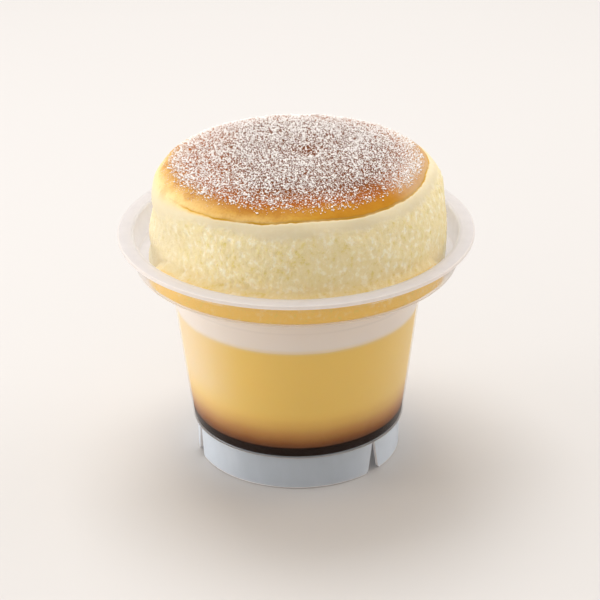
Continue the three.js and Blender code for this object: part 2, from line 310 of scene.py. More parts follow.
class Finish:
    """One material and the nodes that make it."""

    def __init__(self, name):
        self.material = bpy.data.materials.new(name)
        self.material.use_nodes = True
        self.tree = self.material.node_tree
        self.tree.nodes.clear()

    def node(self, kind, settings=None, sockets=None, output=0):
        """Adds a node, sets its settings and then its sockets, and gives one of its outputs."""
        node = self.tree.nodes.new(kind)
        for name, value in (settings or {}).items():
            if name == "stops":
                self.set_stops(node.color_ramp, value)
            else:
                setattr(node, name, value)
        for name, value in (sockets or {}).items():
            if isinstance(value, Channel):
                self.tree.links.new(value.socket, node.inputs[name])
            else:
                node.inputs[name].default_value = value
        return None if output is None else Channel(self, node.outputs[output])

    @staticmethod
    def set_stops(ramp, stops):
        while len(ramp.elements) > 1:
            ramp.elements.remove(ramp.elements[-1])
        for index, (position, paint) in enumerate(stops):
            element = ramp.elements[0] if index == 0 else ramp.elements.new(position)
            element.position = position
            element.color = (*paint, 1)

    def where(self):
        """Object coordinates."""
        return self.node("ShaderNodeTexCoord", output="Object")

    def stretched(self, where, scale):
        return self.node(
            "ShaderNodeVectorMath", {"operation": "MULTIPLY"}, {0: where, 1: scale}, "Vector"
        )

    def grain(self, where, size, detail=2.0, roughness=0.5):
        """Cloudy noise from 0 to 1 whose features are about `size` across."""
        return self.node(
            "ShaderNodeTexNoise",
            None,
            {"Vector": where, "Scale": 1 / size, "Detail": detail, "Roughness": roughness},
            "Fac",
        )

    def attribute(self, name):
        return self.node("ShaderNodeAttribute", {"attribute_name": name}, None, "Fac")

    def mix(self, factor, first, second):
        paints = [p if isinstance(p, Channel) else (*p, 1) for p in (first, second)]
        return self.node(
            "ShaderNodeMix", {"data_type": "RGBA"}, {0: factor, 6: paints[0], 7: paints[1]}, 2
        )

    def coats(self, paint, *coats):
        """A paint with coats over it, each a share and a colour."""
        for cover, coat in coats:
            paint = self.mix(cover, paint, coat)
        return paint

    def ramp(self, position, stops):
        return self.node("ShaderNodeValToRGB", {"stops": stops}, {"Fac": position}, "Color")

    def bump(self, height, depth, strength=1.0):
        return self.node(
            "ShaderNodeBump",
            None,
            {"Height": height, "Distance": depth, "Strength": strength},
            "Normal",
        )

    def principled(self, sockets):
        return self.node("ShaderNodeBsdfPrincipled", None, sockets, "BSDF")

    def translucent(self, paint):
        return self.node("ShaderNodeBsdfTranslucent", None, {"Color": (*paint, 1)}, "BSDF")

    def blend(self, factor, first, second):
        return self.node("ShaderNodeMixShader", None, {0: factor, 1: first, 2: second})

    def done(self, shader):
        self.node("ShaderNodeOutputMaterial", None, {"Surface": shader}, None)
        return self.material


class Place:
    """Where a finish's point lies: its coordinates, height, distance from the axis and direction."""

    def __init__(self, finish):
        self.where = finish.where()
        across, along, self.height = [
            finish.node("ShaderNodeSeparateXYZ", None, {"Vector": self.where}, axis) for axis in "XYZ"
        ]
        self.radius = (across * across + along * along) ** 0.5
        self.left = -across / self.radius
        self.front = -along / self.radius


def swept(corners, steps):
    """A bmesh of a chain of corners swept once round the Z axis."""
    bm = bmesh.new()
    chain = [bm.verts.new(corner) for corner in corners]
    for first, second in zip(chain, chain[1:]):
        bm.edges.new((first, second))
    bmesh.ops.spin(
        bm,
        geom=[*bm.verts, *bm.edges],
        cent=(0, 0, 0),
        axis=(0, 0, 1),
        angle=math.tau,
        steps=steps,
        use_merge=True,
    )
    return bm


def closed(bm):
    """The bmesh with its doubled vertices merged and its faces turned outwards."""
    bmesh.ops.remove_doubles(bm, verts=bm.verts, dist=MERGE_DISTANCE)
    bmesh.ops.recalc_face_normals(bm, faces=bm.faces)
    return bm


def bevelled(bm, edges, rounding, segments):
    bmesh.ops.bevel(
        bm,
        geom=edges,
        offset=rounding,
        offset_type="OFFSET",
        affect="EDGES",
        segments=segments,
        profile=0.5,
        material=-1,
        clamp_overlap=True,
    )


def round_ring(bm, radius, height, rounding, segments):
    """Rounds off the ring of edges at one radius and height."""
    on_ring = {
        vert
        for vert in bm.verts
        if abs(vert.co.z - height) < SAME_PLACE and abs(vert.co.xy.length - radius) < SAME_PLACE
    }
    edges = [edge for edge in bm.edges if on_ring.issuperset(edge.verts)]
    if not edges:
        raise RuntimeError(f"no edges at radius {radius} and height {height}")
    bevelled(bm, edges, rounding, segments)


def turned(corners, segments=4):
    """A bmesh turned from (radius, height, round) corners."""
    bm = closed(swept([(radius, 0, height) for radius, height, _ in corners], RING_STEPS))
    for radius, height, rounding in corners:
        if rounding > 0:
            round_ring(bm, radius, height, rounding, segments)
    return bm


def new_piece(context, name, bm, material, sharp_angle=40):
    """Links a bmesh as a smooth-shaded object at the origin that rides on the pudding."""
    for face in bm.faces:
        face.smooth = True
    mesh = bpy.data.meshes.new(name)
    bm.to_mesh(mesh)
    bm.free()
    mesh.set_sharp_from_angle(angle=math.radians(sharp_angle))
    return link_mesh(context, name, mesh, material)


def link_mesh(context, name, mesh, material):
    piece = bpy.data.objects.new(name, mesh)
    context.scene.collection.objects.link(piece)
    mesh.materials.append(material)
    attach(piece, "root")
    return piece


def lower_wall_radius(cup, height):
    slope = (cup.neck_radius - cup.base_radius) / (cup.shoulder_underside - cup.floor_underside)
    return cup.base_radius + slope * (height - cup.floor_underside)


def slot_cutters(cup):
    """Three wedges, flaring at the bottom, that open the slots in the foot ring."""
    below = -0.02 * MM
    bottom = cup.slot_bottom_width / 2
    wide = bottom + 1.05 * cup.slot_lip_round
    top = cup.slot_top_width / 2
    depth = 4 * cup.foot_wall
    outline = [
        (-wide, -MM),
        (wide, -MM),
        (wide, below),
        (bottom, below),
        (top, cup.slot_top),
        (-top, cup.slot_top),
        (-bottom, below),
        (-wide, below),
    ]
    bm = bmesh.new()
    front = -(cup.foot_radius - cup.foot_wall / 2 - depth / 2)
    face = bm.faces.new([bm.verts.new((across, front, height)) for across, height in outline])
    pushed = bmesh.ops.extrude_face_region(bm, geom=[face])["geom"]
    moved = [item for item in pushed if isinstance(item, bmesh.types.BMVert)]
    bmesh.ops.translate(bm, verts=moved, vec=(0, -depth, 0))
    lips = [
        edge
        for edge in bm.edges
        if all(
            abs(abs(v.co.x) - bottom) < MERGE_DISTANCE and abs(v.co.z - below) < MERGE_DISTANCE
            for v in edge.verts
        )
        and abs(edge.verts[0].co.x - edge.verts[1].co.x) < MERGE_DISTANCE
    ]
    bevelled(bm, lips, cup.slot_lip_round, 6)
    bmesh.ops.recalc_face_normals(bm, faces=bm.faces)
    single = bm.copy()
    bmesh.ops.rotate(bm, verts=bm.verts, cent=(0, 0, 0), matrix=Matrix.Rotation(cup.slot_azimuth, 3, "Z"))
    for turn in (1, 2):
        scratch = bpy.data.meshes.new("slot")
        single.to_mesh(scratch)
        scratch.transform(Matrix.Rotation(cup.slot_azimuth + turn * math.tau / 3, 4, "Z"))
        bm.from_mesh(scratch)
        bpy.data.meshes.remove(scratch)
    single.free()
    return bm


def cut_away(context, bm, cutter_bm):
    """The bmesh with the cutter taken away from it."""
    meshes = [bpy.data.meshes.new(name) for name in ("blank", "cutter")]
    bm.to_mesh(meshes[0])
    cutter_bm.to_mesh(meshes[1])
    bm.free()
    cutter_bm.free()
    blank, cutter = [bpy.data.objects.new(mesh.name, mesh) for mesh in meshes]
    context.scene.collection.objects.link(blank)
    context.scene.collection.objects.link(cutter)
    boolean = blank.modifiers.new("cut", "BOOLEAN")
    boolean.operation = "DIFFERENCE"
    boolean.solver = "EXACT"
    boolean.object = cutter
    graph = context.evaluated_depsgraph_get()
    result = bmesh.new()
    result.from_object(blank, graph)
    for thing in (blank, cutter):
        bpy.data.objects.remove(thing)
    for mesh in meshes:
        bpy.data.meshes.remove(mesh)
    bmesh.ops.remove_doubles(result, verts=result.verts, dist=MERGE_DISTANCE)
    return result


def thick_edges_and_painted_highlights(finish, cup, place):
    """Where the plastic is thick or cut: the brim, the shoulder's corner, the sill, the hem and the slots,
    painted whiter and hazier, partly as thick plastic and partly as painted highlight lines.
    """
    height, radius = place.height, place.radius
    floor, shoulder, outer = cup.floor_underside, cup.shoulder_underside, cup.upper_wall_foot_radius
    brim = radius.rise(cup.flange_radius - 0.45 * MM, cup.flange_radius - 0.1 * MM)
    corner = height.band(shoulder, shoulder + 0.15 * MM, shoulder + 0.6 * MM, shoulder + 0.95 * MM)
    corner = corner * radius.rise(outer - 1.2 * MM, outer - 0.6 * MM)
    sill = height.band(floor - 0.35 * MM, floor - 0.05 * MM, floor + 0.25 * MM, floor + 0.6 * MM)
    hem = height.rise(0.4 * MM, 0.15 * MM)
    return brim + 0.7 * corner + 0.9 * sill + hem + finish.attribute("cut")


def wall_haze(cup, cake, place, foot):
    """The plastic's haze: least where food lies against it, more at the foot, the dry wall and the flange."""
    height = place.height
    shoulder, under_flange = cup.shoulder_underside, cup.upper_wall_top_radius
    bottom = cake.base - cake.spread_rise
    spread_top = bottom + (cake.spread_top - bottom) * place.front.rise(*SPREAD_COSINES)
    near_end = place.front.rise(0.66, 0.3)
    wet = height.rise(spread_top + 2.0 * MM, spread_top - 0.2 * MM) * (1 - near_end)
    dry = (1 - wet) * height.rise(shoulder, shoulder + 0.6 * MM)
    flange = place.radius.rise(under_flange - 0.3 * MM, under_flange + 0.5 * MM)
    return (
        cup.wet_haze
        + (cup.foot_haze - cup.wet_haze) * foot
        + (cup.dry_haze - cup.wet_haze) * dry
        + (cup.flange_haze - cup.dry_haze) * flange
    )


def plastic_finish(cup, cake):
    """Milky plastic: clear where wet food lies against it, hazier at the flange and the foot."""
    finish = Finish("frosted_plastic")
    place = Place(finish)
    floor = cup.floor_underside
    foot = place.height.rise(floor + 0.2 * MM, floor - 0.2 * MM)
    haze = wall_haze(cup, cake, place, foot)
    # The thick edges carry painted highlight lines: whiter, hazier plastic at the brim, the shoulder's
    # corner, the sill, the hem and the slots' cut faces.
    thick = thick_edges_and_painted_highlights(finish, cup, place)
    flow = finish.grain(finish.stretched(place.where, (1, 1, 0.4)), 6 * MM, 3)
    frost = finish.grain(place.where, 0.35 * MM, 2)
    edge_on = finish.node("ShaderNodeLayerWeight", None, {"Blend": 0.5}, "Facing").rise(0.2, 0.8)
    off_caramel = 2 * foot + place.height.rise(floor + 3 * MM, floor + 12 * MM)
    cloudy = haze * (0.85 + 0.3 * flow) + 0.22 * edge_on * off_caramel
    cloudy = cloudy + thick * (0.9 - haze)
    lit_face = finish.principled({
        "Base Color": finish.coats(cup.plastic, (foot, cup.foot_plastic), (thick, cup.thick_and_highlight_plastic)),
        "Roughness": 0.28 + 0.12 * frost,
        "Specular IOR Level": 0.5,
        "Normal": finish.bump(frost, 0.02 * MM, 0.4),
    })
    lit_through = finish.blend(foot, finish.translucent(cup.plastic), finish.translucent(cup.foot_plastic))
    lit_through = finish.blend(thick, lit_through, finish.translucent(cup.thick_and_highlight_plastic))
    milky = finish.blend(0.52 - 0.26 * foot, lit_face, lit_through)
    clear = finish.node("ShaderNodeBsdfTransparent", None, None, "BSDF")
    wall = finish.blend(cloudy, clear, milky)
    gleam = finish.node("ShaderNodeFresnel", None, {"IOR": 1.4}, "Fac")
    gloss = finish.node("ShaderNodeBsdfGlossy", None, {"Color": (1, 1, 1, 1), "Roughness": 0.2}, "BSDF")
    return finish.done(finish.blend(0.25 * gleam, wall, gloss))


def mark_slot_edges(cup, bm):
    """Marks the faces that the slots' cutting has laid bare, for the finish."""
    store = bm.faces.layers.float.new("cut")
    for face in bm.faces:
        centre = face.calc_center_median()
        outward = centre.xy.normalized().dot(face.normal.xy)
        if centre.z < cup.slot_top + 0.1 * MM and abs(outward) < 0.6 and abs(face.normal.z) < 0.9:
            face[store] = 1


class PUDDING_OT_cup(bpy.types.Operator):
    """Model the translucent cup with its flange, shoulder and slotted foot ring"""

    bl_idname = "pudding.cup"
    bl_label = "Cup"

    def execute(self, context):
        cup = context.scene.pudding_cup
        floor_top = cup.floor_underside + cup.wall
        ledge_top = cup.shoulder_underside + cup.wall
        flange_under = cup.flange_top - cup.flange_thickness
        edge_bottom = cup.flange_top - cup.flange_edge_height
        edge_inner = cup.flange_radius - cup.flange_edge_width
        foot_inner = cup.foot_radius - cup.foot_wall
        ring_low = cup.ring_height - cup.ring_width / 2
        ring_high = cup.ring_height + cup.ring_width / 2
        corners = [
            (0, cup.floor_underside, 0),
            (foot_inner, cup.floor_underside, 0.5 * MM),
            (foot_inner, 0, 0.15 * MM),
            (cup.foot_radius, 0, 0.15 * MM),
            (cup.foot_radius, cup.floor_underside, 0.1 * MM),
            (cup.base_radius, cup.floor_underside, 0.6 * MM),
            (lower_wall_radius(cup, ring_low), ring_low, 0.3 * MM),
            (lower_wall_radius(cup, cup.ring_height) + cup.ring_rise, cup.ring_height, 0.4 * MM),
            (lower_wall_radius(cup, ring_high), ring_high, 0.3 * MM),
            (cup.neck_radius, cup.shoulder_underside, 0.8 * MM),
            (cup.upper_wall_foot_radius, cup.shoulder_underside, 1.0 * MM),
            (cup.upper_wall_top_radius, flange_under, 0.5 * MM),
            (edge_inner, flange_under, 0.1 * MM),
            (edge_inner, edge_bottom, 0.12 * MM),
            (cup.flange_radius, edge_bottom, 0.2 * MM),
            (cup.flange_radius, cup.flange_top, 0.35 * MM),
            (cup.mouth_radius, cup.flange_top, 0.5 * MM),
            (cup.upper_wall_foot_radius - cup.wall, ledge_top, 0.7 * MM),
            (cup.neck_radius - cup.wall, ledge_top, 0.6 * MM),
            (cup.base_radius - cup.wall, floor_top, 1.2 * MM),
            (0, floor_top, 0),
        ]
        bm = cut_away(context, turned(corners), slot_cutters(cup))
        bm.normal_update()
        mark_slot_edges(cup, bm)
        material = plastic_finish(cup, context.scene.pudding_souffle)
        piece = new_piece(context, "translucent_cup", bm, material, 34)
        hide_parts("cup")
        return {"FINISHED"}


def layer(cup, layers, bottom, top, bottom_round=0.0):
    """A layer that fills the lower cup between two heights and reaches into its wall."""

    def radius(height):
        return lower_wall_radius(cup, height) - cup.wall + layers.sink

    return turned([
        (0, bottom, 0),
        (radius(bottom), bottom, bottom_round),
        (radius(top), top, 0),
        (0, top, 0),
    ])


def wavy_rim(bm, height, depth):
    """Lifts and lowers the ring at one height a little, as a spooned layer's edge lies."""
    for vert in bm.verts:
        if abs(vert.co.z - height) < SAME_PLACE and vert.co.xy.length > 0.1 * MM:
            around = vert.co.xy.normalized() * 2.2
            swell = noise.noise((around.x, around.y, 3.7)) + 0.5 * noise.noise(
                (3 * around.x, 3 * around.y, 8.1)
            )
            vert.co.z += depth * swell


def caramel_finish(layers):
    """Near-black caramel with a painted amber glow along its upper edge, partly its blend into the stained
    custard.
    """
    finish = Finish("caramel_sauce")
    place = Place(finish)
    pool = finish.grain(place.where, 5 * MM, 3)
    # Painted glow of light through the caramel's thin upper edge, partly its blend into the stained custard.
    glow = place.height.rise(layers.caramel_top - 0.9 * MM, layers.caramel_top)
    amber = finish.mix(0.55, layers.caramel, layers.custard_stain)
    return finish.done(finish.principled({
        "Base Color": finish.mix(0.12 * glow + 0.15 * pool, layers.caramel, amber),
        "Roughness": 0.3 + 0.1 * pool,
        "Specular IOR Level": 0.08,
    }))


def custard_finish(layers):
    """Yellow custard that is stained brown above the caramel, with painted light making it paler on the left.
    """
    finish = Finish("baked_custard")
    place = Place(finish)
    drift = finish.grain(finish.stretched(place.where, (1, 1, 0.5)), 9 * MM, 3)
    depth = (place.height - layers.caramel_top) / layers.stain + 0.16 * (drift - 0.5)
    stained = finish.ramp(depth, [
        (0.0, layers.custard_stain),
        (0.12, tint(130, 72, 25)),
        (0.36, tint(186, 132, 68)),
        (0.62, tint(222, 177, 94)),
        (0.84, tint(237, 198, 106)),
        (1.0, layers.custard),
    ])
    fine = finish.grain(place.where, 0.5 * MM, 2)
    pale = finish.mix(0.45, layers.custard, layers.cream)
    near_cream = place.height.rise(layers.custard_top - 1.1 * MM, layers.custard_top + 0.2 * MM)
    # Painted light: the lit left side, above the stain, is mixed towards the pale blend of custard and cream.
    left = place.left.rise(0.4, 1.0) * depth.rise(0.6, 1.6)
    return finish.done(finish.principled({
        "Base Color": finish.coats(stained, (0.1 * fine + 0.85 * left, pale), (0.8 * near_cream, pale)),
        "Roughness": 0.4 + 0.12 * fine,
        "Specular IOR Level": 0.1,
        "Subsurface Weight": 0.25,
        "Subsurface Radius": (1.0, 0.6, 0.25),
        "Subsurface Scale": 2 * MM,
    }))


def cream_finish(layers):
    """Whitish cream that takes a little yellow from the custard under it."""
    finish = Finish("set_cream")
    place = Place(finish)
    cloud = finish.grain(place.where, 4 * MM, 3)
    fine = finish.grain(place.where, 0.6 * MM, 2)
    yolk = finish.mix(0.5, layers.cream, layers.custard)
    near_custard = place.height.rise(layers.custard_top + 1.2 * MM, layers.custard_top - 0.3 * MM)
    return finish.done(finish.principled({
        "Base Color": finish.mix(0.85 * near_custard + 0.08 * cloud, layers.cream, yolk),
        "Roughness": 0.45 + 0.15 * fine,
        "Specular IOR Level": 0.1,
        "Subsurface Weight": 0.25,
        "Subsurface Radius": (1.0, 0.85, 0.65),
        "Subsurface Scale": 1.5 * MM,
        "Normal": finish.bump(fine, 0.03 * MM, 0.5),
    }))


class PUDDING_OT_layers(bpy.types.Operator):
    """Model the caramel, custard and cream that fill the lower cup"""

    bl_idname = "pudding.layers"
    bl_label = "Layers"

    def execute(self, context):
        cup = context.scene.pudding_cup
        layers = context.scene.pudding_layers
        bottom = cup.floor_underside + cup.wall - layers.sink
        caramel = layer(cup, layers, bottom, layers.caramel_top, 0.9 * MM)
        wavy_rim(caramel, layers.caramel_top, 0.4 * layers.wave)
        piece = new_piece(context, "caramel_layer", caramel, caramel_finish(layers))
        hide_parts("caramel")

        overlap = 0.5 * MM
        custard = layer(cup, layers, layers.caramel_top - overlap, layers.custard_top)
        wavy_rim(custard, layers.custard_top, layers.wave)
        narrow = 1 - 0.06 * MM / cup.base_radius
        bmesh.ops.scale(custard, verts=custard.verts, vec=(narrow, narrow, 1))
        piece = new_piece(context, "custard_layer", custard, custard_finish(layers))
        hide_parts("custard")

        cream = layer(cup, layers, layers.custard_top, layers.cream_top)
        wavy_rim(cream, layers.custard_top, layers.wave)
        piece = new_piece(context, "cream_layer", cream, cream_finish(layers))
        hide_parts("cream")
        return {"FINISHED"}


def smooth_step(value, low, high):
    share_in = numpy.clip((value - low) / (high - low), 0, 1)
    return share_in * share_in * (3 - 2 * share_in)


def bend(start, control, end, count=80):
    """Points along a quadratic bend between two (radius, height) points."""
    t = numpy.linspace(0, 1, count)[:, None]
    start, control, end = (numpy.array(point) for point in (start, control, end))
    return (1 - t) ** 2 * start + 2 * t * (1 - t) * control + t**2 * end


DIRECTION_REACH = 0.05 * MM


class CakeOutline:
    """The cake's rounded outline, read by the distance along it from the middle of the base."""

    def __init__(self, cake):
        foot = cake.base_radius - cake.base_round
        rise = cake.base + cake.base_round
        shoulder = (cake.shoulder_radius, cake.shoulder_height)
        top = (cake.top_radius, cake.top_height)
        self.points = numpy.vstack([
            [(0, cake.base)],
            bend((foot, cake.base), (cake.base_radius, cake.base), (cake.base_radius, rise), 12),
            bend(shoulder, (cake.corner_radius, cake.corner_height), top),
            bend(top, (cake.dome_radius, cake.dome_height), (0, cake.dome_height))[1:],
        ])
        steps = numpy.linalg.norm(numpy.diff(self.points, axis=0), axis=1)
        self.along = numpy.concatenate([[0], numpy.cumsum(steps)])
        self.end = self.along[-1]

    def point(self, stations):
        return [numpy.interp(stations, self.along, column) for column in self.points.T]

    def at(self, stations):
        """Radius, height and unit direction along the outline at each station."""
        radius, height = self.point(stations)
        radius_ahead, height_ahead = self.point(numpy.minimum(stations + DIRECTION_REACH, self.end))
        radius_behind, height_behind = self.point(numpy.maximum(stations - DIRECTION_REACH, 0))
        run, climb = radius_ahead - radius_behind, height_ahead - height_behind
        size = numpy.hypot(run, climb)
        return radius, height, run / size, climb / size

    def at_height(self, heights):
        return numpy.interp(heights, self.points[1:, 1], self.along[1:])


# Cosines of the azimuth between which the spread base rises to its full height and width
SPREAD_COSINES = (0.2, 0.55)
WIDEST_COSINES = (0.2, 0.5)


def spread_share(cake, azimuths, height):
    """How far the base is spread at a height: 1 against the wall, 0 above the spread."""
    bottom = cake.base - cake.spread_rise
    front = smooth_step(numpy.cos(azimuths), *SPREAD_COSINES)
    top = bottom + (cake.spread_top - bottom) * front
    return 1 - smooth_step(height, top, top + cake.spread_rise)


def crack_sag(right, front):
    """Where the crack runs lower: right of the front, ending at the right side."""
    return smooth_step(right, 0, 0.5) * smooth_step(front, 0.15, 0.6)


def ring_noise(azimuths, waves, seed):
    """Noise round the cake, finer with more waves."""
    return numpy.array([noise.noise((waves * math.sin(a), waves * math.cos(a), seed)) for a in azimuths])


def crack_heights(cake, azimuths):
    """Height of the crack round the cake, a little ragged."""
    right, front = numpy.sin(azimuths), numpy.cos(azimuths)
    ragged = ring_noise(azimuths, 2.5, 5.3)
    ragged += 0.6 * ring_noise(azimuths, 9, 1.9) + 0.6 * ring_noise(azimuths, 30, 4.2)
    height = cake.crack_height + cake.crack_right * right + cake.crack_front * front
    return height - cake.crack_drop * crack_sag(right, front) + 0.2 * MM * ragged


def crack_strength(azimuths):
    """How open the crack is: full at the front and right, shut on the far left."""
    open_share = numpy.clip(0.75 + 0.7 * ring_noise(azimuths, 5, 7.1), 0.25, 1)
    return open_share * smooth_step(numpy.sin(azimuths), -0.96, -0.7)


def ridge_strength(azimuths):
    """How far the skin stands up beside the crack: on the right only, ending in a notch."""
    from_front = numpy.degrees(azimuths)
    return smooth_step(from_front, 40, 75) * (1 - smooth_step(from_front, 112, 116))


CRUST_RADIUS = 34.2 * MM
CRUST_LESS_RIGHT = 1.1 * MM
CRUST_LESS_FRONT = 0.75 * MM
CRUST_MORE_AT_SAG = 0.5 * MM


def inside_crust(cake, x, y):
    """Distance in from the crust's edge at a place, and how far right and front the place lies."""
    from_middle = math.hypot(x - cake.lean, y)
    azimuth = math.atan2(x - cake.lean, -y)
    right, front = math.sin(azimuth), math.cos(azimuth)
    edge = CRUST_RADIUS - CRUST_LESS_RIGHT * right - CRUST_LESS_FRONT * front
    edge += CRUST_MORE_AT_SAG * float(crack_sag(right, front))
    return edge - from_middle, right, front


def crust_noise(x, y, size, seed):
    """Noise over the crust with features of about one size."""
    return noise.noise((x / size, y / size, seed))


# Barer patches of the crust: place to the right and back and half widths in millimetres, share less sugar
BARE_PATCHES = (
    (4, 3, 5, 4, 0.4),
    (0, -27, 24, 7, 0.4),
    (22, -20, 10, 7, 0.58),
    (-17, -21, 8, 4, 0.25),
    (26, -4, 9, 16, 0.15),
    (0, 24, 26, 9, -0.25),
)


def sugar_cover(cake, x, y):
    """Share of the crust that clumps and grains of sugar cover at a place."""
    inside, right, front = inside_crust(cake, x, y)
    start = (0.4 + 1.6 * max(0.0, -right) + 0.8 * crust_noise(x, y, 1.6 * MM, 3.8)) * MM
    end = start + (2.2 - 0.6 * max(0.0, right) + 3.3 * max(0.0, front)) * MM
    cloud = crust_noise(x, y, 9 * MM, 2.3) + 0.5 * crust_noise(x, y, 3.5 * MM, 6.1)
    cover = 0.79 + 0.25 * cloud
    for across, back, wide, deep, bare in BARE_PATCHES:
        away = ((x / MM - across) / wide) ** 2 + ((y / MM - back) / deep) ** 2
        cover -= bare * math.exp(-away)
    return float(smooth_step(inside, start, end)) * min(max(cover, 0.1), 1.0)


def dust_cover(cake, x, y):
    """Share of the crust that fine sugar covers at a place: most of all along the right edge."""
    inside, right, front = inside_crust(cake, x, y)
    if inside < 0:
        return 0.0
    at_right = float(smooth_step(right, 0.68, 0.9))
    at_back = float(smooth_step(-front, 0.2, 0.8))
    at_left = float(smooth_step(-right, 0.5, 0.9))
    edge = float(smooth_step(inside, 0.2 * MM, 1.4 * MM) * smooth_step(-inside, -16 * MM, -4 * MM))
    return edge * (0.03 + 0.5 * at_right + (0.4 * at_back + 0.25 * at_left) * (1 - at_right))


SPREAD_LEVELS = 4
SIDE_LEVELS = 60
# Distances of the levels near the crack, in millimetres up from it
CRACK_LEVELS = [-3.2, -2.6, -2.1, -1.7, -1.35, -1.05, -0.8, -0.6, -0.45, -0.32, -0.2, -0.1, 0.0,
                0.1, 0.2, 0.32, 0.46, 0.62, 0.82, 1.05, 1.35, 1.7, 2.2, 2.9, 3.8]
DOME_LEVELS = 30
CAKE_STEPS = 720
SKIN_WIDEST = math.radians(-65)
PIT_SIZE = 1.6 * MM
UPRIGHT = 0.85


def cake_stations(cake, outline, cracks):
    """Stations along the outline, one row for each level and one column for each step."""
    columns = numpy.ones_like(cracks)
    foot = cake.base_radius - cake.base_round
    rows = [0 * columns, 0.5 * foot * columns, 0.9 * foot * columns, foot * columns]
    start = (foot + 0.25 * cake.base_round) * columns
    spread = outline.at_height(cake.base + 2 * cake.base_round) * columns
    end = cracks + CRACK_LEVELS[0] * MM
    rows += [start + (spread - start) * i / SPREAD_LEVELS for i in range(SPREAD_LEVELS)]
    rows += [spread + (end - spread) * i / SIDE_LEVELS for i in range(SIDE_LEVELS)]
    rows += [cracks + distance * MM for distance in CRACK_LEVELS]
    start = cracks + CRACK_LEVELS[-1] * MM
    rows += [start + (outline.end - start) * (i + 1) / DOME_LEVELS for i in range(DOME_LEVELS)]
    return numpy.array(rows)


def crumb_relief(x, y, z):
    """Depth of a pit and height of a thread at a place in the crumb, in shares."""
    upright = Vector((x, y, UPRIGHT * z))
    place = upright / PIT_SIZE
    distances, points = noise.voronoi(place)
    pick = noise.cell(points[0] * 7.3)
    pit = max(0.0, 1 - distances[0] / 0.5) if pick > 0.1 else 0.0
    fine = max(0.0, 1 - noise.voronoi(place * 2.1)[0][0] / 0.5)
    thread = noise.noise(upright / (1.2 * MM))
    thread += 0.7 * noise.noise(Vector((x, y, 0.8 * z)) / (0.45 * MM))
    return pit + 0.4 * fine, thread


def crack_relief(cake, azimuths, from_crack):
    """The crack's groove in shares, and how far the groove, the crust's lip and the ridge stand out."""
    strength = crack_strength(azimuths)
    groove = numpy.exp(-((from_crack / cake.crack_width) ** 2)) * strength
    lip = numpy.exp(-(((from_crack - cake.lip_width / 2) / cake.lip_width) ** 2)) * strength
    lip *= smooth_step(from_crack, 0.0, 0.25 * MM)
    ridge = numpy.exp(-(((from_crack + 1.4 * cake.ridge_width) / cake.ridge_width) ** 2))
    outward = cake.lip * lip - cake.crack_depth * groove + cake.ridge * ridge * ridge_strength(azimuths)
    return groove, outward


def side_unevenness(cake, azimuths, height):
    """How far the side stands out: a bulge to the right, a hollow to the left and lumps all round."""
    right = numpy.sin(azimuths)
    size = numpy.where(right > 0, cake.bulge, cake.hollow)
    centre = numpy.where(right > 0, cake.bulge_height, cake.hollow_height)
    sway = right * size * numpy.exp(-(((height - centre) / cake.bulge_spread) ** 2))
    up = height / MM
    lumps = cake.lump * (
        numpy.sin(5 * azimuths) * numpy.sin(0.35 * up)
        + 0.8 * numpy.sin(8 * azimuths + 1.3) * numpy.sin(0.5 * up + 1)
        + 0.6 * numpy.sin(13 * azimuths + 2.1) * numpy.sin(0.7 * up + 2)
    )
    return sway + lumps


def skin_widths(cake, right, azimuths):
    """Width of the smooth skin under the crack round the cake."""
    wave = numpy.cos(6 * (azimuths - SKIN_WIDEST)) * (1 - smooth_step(right, 0.1, 0.4))
    return cake.skin_width + cake.skin_wave * wave + cake.skin_left * smooth_step(-right, 0.85, 1.0)


def surface_relief(cake, x, y, height, open_crumb, from_crack):
    """Pits of the crumb in shares, and how far the crumb and the crust's swells stand out."""
    pits = numpy.zeros_like(height)
    outward = numpy.zeros_like(height)
    for spot in zip(*numpy.nonzero(open_crumb > 0.02)):
        pit, thread = crumb_relief(x[spot], y[spot], height[spot])
        pits[spot] = pit * open_crumb[spot]
        stands = cake.thread_depth * thread - cake.pit_depth * pit - cake.skin_rise
        outward[spot] = open_crumb[spot] * stands
    for spot in zip(*numpy.nonzero(from_crack > 0.3 * MM)):
        swell = 0.1 * crust_noise(x[spot], y[spot], 5 * MM, 4.4)
        swell += 0.035 * crust_noise(x[spot], y[spot], 1.1 * MM, 7.7)
        outward[spot] = MM * swell
    return pits, outward


def crust_facts(from_crack, right):
    """What the finish reads of the crust at each vertex, in millimetres from its edge and in shares."""
    left = smooth_step(-right, 0.35, 0.95)
    on_crust = from_crack * (1 - 0.45 * left)
    reach = numpy.where(from_crack > 0, on_crust, from_crack) + 1.0 * MM * left
    reach += 1.8 * MM * smooth_step(right, 0.2, 0.7) * smooth_step(from_crack, 0.3 * MM, 1.5 * MM)
    pale = left * (1 - smooth_step(from_crack, 0.0, 6.5 * MM))
    front_left = smooth_step(-right, -0.1, 0.4) * (1 - smooth_step(from_crack, 0.3 * MM, 3 * MM))
    deep = smooth_step(right, -0.1, 0.3) * (1 - smooth_step(right, 0.72, 0.92))
    return {
        "reach": reach / MM,
        "edge": reach / MM / (1 + 5 * smooth_step(-right, 0.72, 0.96)),
        "pale": numpy.maximum(pale, 0.5 * front_left),
        "deep": deep * (1 - smooth_step(from_crack, 2 * MM, 6 * MM)),
        "dusty": smooth_step(right, 0.68, 0.9) * (1 - smooth_step(from_crack, 3 * MM, 8 * MM)),
    }


